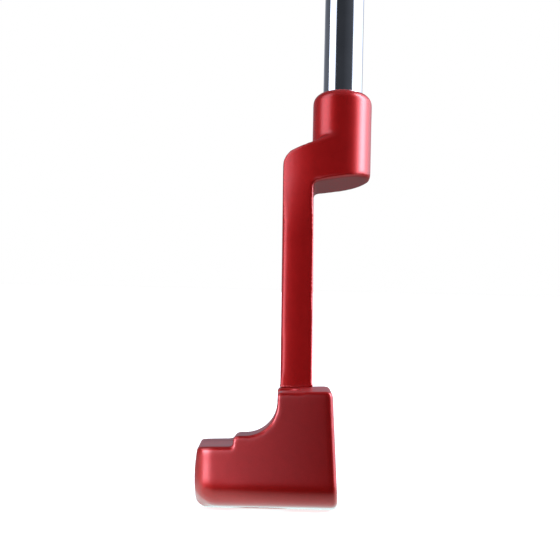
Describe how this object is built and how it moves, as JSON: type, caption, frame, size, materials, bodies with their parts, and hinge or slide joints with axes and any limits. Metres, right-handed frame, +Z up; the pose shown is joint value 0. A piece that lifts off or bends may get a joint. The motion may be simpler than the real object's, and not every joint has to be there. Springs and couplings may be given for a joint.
{
  "type": "golf putter",
  "caption": "Right-handed blade putter: stepped-bumper head with face insert, long plumber's neck, stepped steel shaft and pistol grip.",
  "frame": {"origin": "middle of the sole's flat, where the club rests on the ground at address", "axes": "+X is the target direction, -Y the toe, +Y the heel and the golfer's side, +Z up; the shaft leans 20 degrees towards +Y"},
  "size_m": [0.046, 0.3947, 0.815],
  "materials": {
    "red_paint": "satin metallic",
    "chrome_plate": "mirror chrome",
    "steel": "turned",
    "insert_metal": "milled, satin",
    "adhesive": "cured epoxy",
    "white_fill": "enamel",
    "washer_rubber": "matte",
    "brass": "turned",
    "cork": "cork",
    "tape": "paper tape",
    "underlisting_rubber": "matte",
    "grip_skin": "pebbled, matte",
    "grip_seam": "stitched seam",
    "grip_mouldings": "moulded, satin"
  },
  "bodies": {
    "root": {"head_body": "red_paint", "plumbers_neck": "red_paint", "face_insert": "insert_metal", "insert_adhesive": "adhesive", "sight_line_fill": "white_fill", "toe_sole_weight": "steel", "heel_sole_weight": "steel", "toe_weight_washer": "washer_rubber", "heel_weight_washer": "washer_rubber", "shaft": "chrome_plate", "shaft_epoxy": "adhesive", "tip_weight_pin": "brass", "tip_cork": "cork", "grip_tape": "tape", "grip_underlisting": "underlisting_rubber", "grip_skin": "grip_skin", "grip_seam": "grip_seam", "grip_mouth_ring": "grip_mouldings", "grip_cap": "grip_mouldings"}
  },
  "joints": []
}
